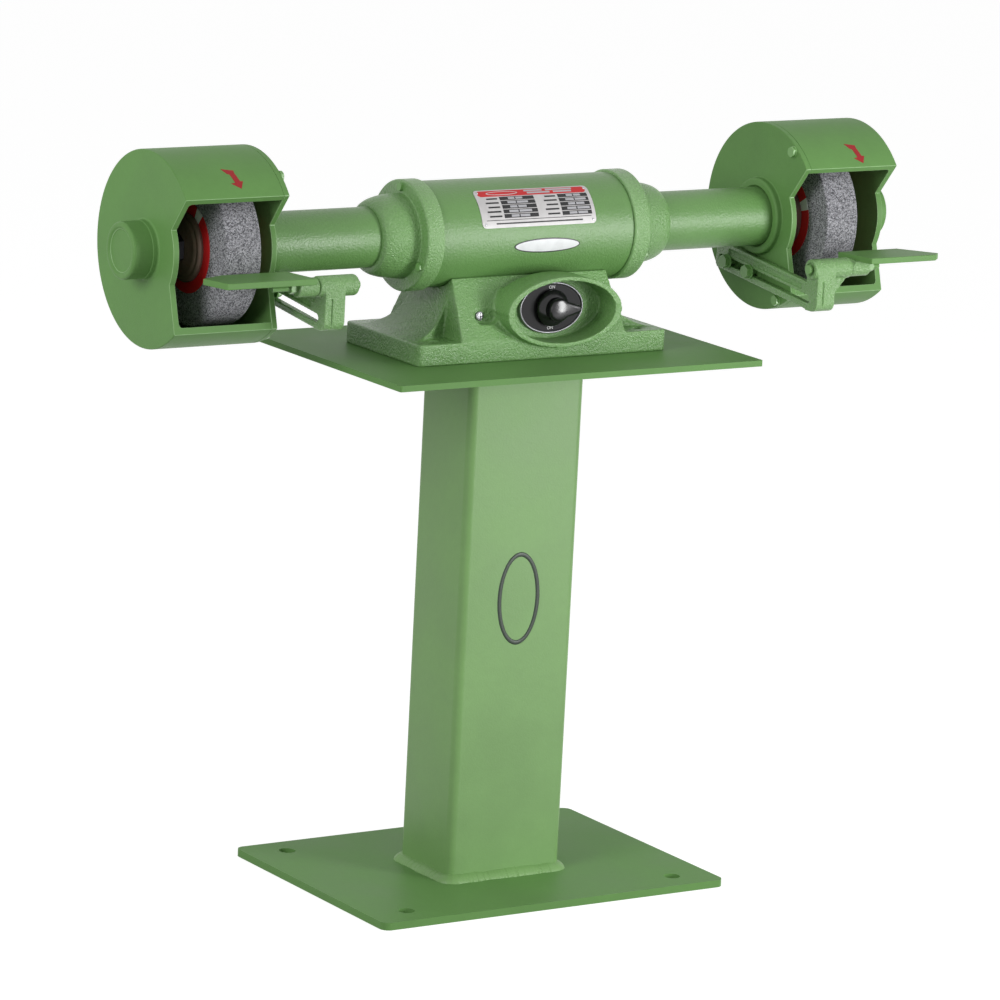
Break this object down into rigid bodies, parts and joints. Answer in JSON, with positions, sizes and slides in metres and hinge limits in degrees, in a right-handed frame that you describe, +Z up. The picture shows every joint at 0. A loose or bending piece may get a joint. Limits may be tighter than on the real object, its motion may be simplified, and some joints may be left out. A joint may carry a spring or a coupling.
{
  "type": "pedestal grinder",
  "caption": "Double-ended wheel grinder on a square column, with wheel guards, sliding and tilting tool rests and a rotary switch.",
  "frame": {"origin": "middle of the floor plate's underside, which is the bottom centre of the object", "axes": "+Z up, X along the wheel shaft with +X to the right as seen from the front, front faces -Y"},
  "size_m": [1.155, 0.384, 0.988],
  "materials": {
    "green_sheet": "satin green enamel on steel plate and tube",
    "green_casting": "hammered green enamel on rough castings",
    "green_smooth": "satin green enamel on turned and cast iron",
    "painted_bolt": "green enamel over steel fasteners",
    "zinc_steel": "zinc plated",
    "black_plastic": "satin black",
    "chrome": "polished",
    "lamination": "stacked steel sheets",
    "copper": "varnished copper wire",
    "ground_steel": "ground and turned",
    "abrasive": "vitrified grey grit with light and dark grains",
    "red_paper": "printed red paper",
    "brown_steel": "oiled dark brown steel",
    "plate_metal": "printed plate",
    "white_badge": "white label with a dark border",
    "dark_badge": "dark green ring label"
  },
  "bodies": {
    "stand": {"base_plate": "green_sheet", "column": "green_sheet", "top_plate": "green_sheet", "foot_bolts": "zinc_steel", "motor_foot": "green_casting", "terminal_block": "black_plastic", "cable_gland": "black_plastic", "stator_frame": "green_smooth", "stator_core": "lamination", "stator_windings": "copper", "nameplate": "plate_metal", "nameplate_rivets": "plate_metal", "motor_badge": "white_badge", "column_badge": "dark_badge", "switch_body": "black_plastic", "switch_bezel": "chrome", "switch_dial": "black_plastic", "foot_screw": "zinc_steel", "left_end_bell": "green_casting", "left_end_bell_bolts": "painted_bolt", "left_pipe": "green_smooth", "left_bearing_outer": "ground_steel", "left_guard_back": "green_smooth", "left_guard_cover": "green_smooth", "left_guard_bolts": "painted_bolt", "left_rest_clamp_bolts": "painted_bolt", "right_end_bell": "green_casting", "right_end_bell_bolts": "painted_bolt", "right_pipe": "green_smooth", "right_bearing_outer": "ground_steel", "right_guard_back": "green_smooth", "right_guard_cover": "green_smooth", "right_guard_bolts": "painted_bolt", "right_rest_clamp_bolts": "painted_bolt"},
    "spindle": {"shaft": "ground_steel", "rotor_core": "lamination", "left_bearing_inner": "ground_steel", "right_bearing_inner": "ground_steel", "left_bearing_balls": "ground_steel", "right_bearing_balls": "ground_steel", "left_inner_flange": "brown_steel", "right_inner_flange": "brown_steel", "left_wheel": "abrasive", "right_wheel": "abrasive", "left_blotters": "red_paper", "right_blotters": "red_paper", "left_outer_flange": "brown_steel", "right_outer_flange": "brown_steel", "left_spindle_nut": "zinc_steel", "right_spindle_nut": "zinc_steel"},
    "switch": {"switch_knob": "black_plastic"},
    "left_rest": {"left_rest_arm": "green_casting", "left_rest_pivot": "painted_bolt"},
    "left_table": {"left_rest_table": "green_casting"},
    "right_rest": {"right_rest_arm": "green_casting", "right_rest_pivot": "painted_bolt"},
    "right_table": {"right_rest_table": "green_casting"}
  },
  "joints": [
    {"name": "spindle_spin", "type": "hinge", "parent": "stand", "child": "spindle", "pos_m": [0, 0, 0.863], "axis": [1, 0, 0], "continuous": true},
    {"name": "switch_turn", "type": "hinge", "parent": "stand", "child": "switch", "pos_m": [0.022, -0.0693, 0.771], "axis": [0, -1, 0], "range_deg": [-90, 90]},
    {"name": "left_rest_slide", "type": "slide", "parent": "stand", "child": "left_rest", "axis": [0, -0.9945, -0.1045], "range_m": [0, 0.028]},
    {"name": "left_table_tilt", "type": "hinge", "parent": "left_rest", "child": "left_table", "pos_m": [-0.385, -0.128, 0.829], "axis": [1, 0, 0], "range_deg": [-30, 30]},
    {"name": "right_rest_slide", "type": "slide", "parent": "stand", "child": "right_rest", "axis": [0, -0.9945, -0.1045], "range_m": [-0.014, 0.014]},
    {"name": "right_table_tilt", "type": "hinge", "parent": "right_rest", "child": "right_table", "pos_m": [0.455, -0.142, 0.815], "axis": [1, 0, 0], "range_deg": [-30, 30]}
  ]
}
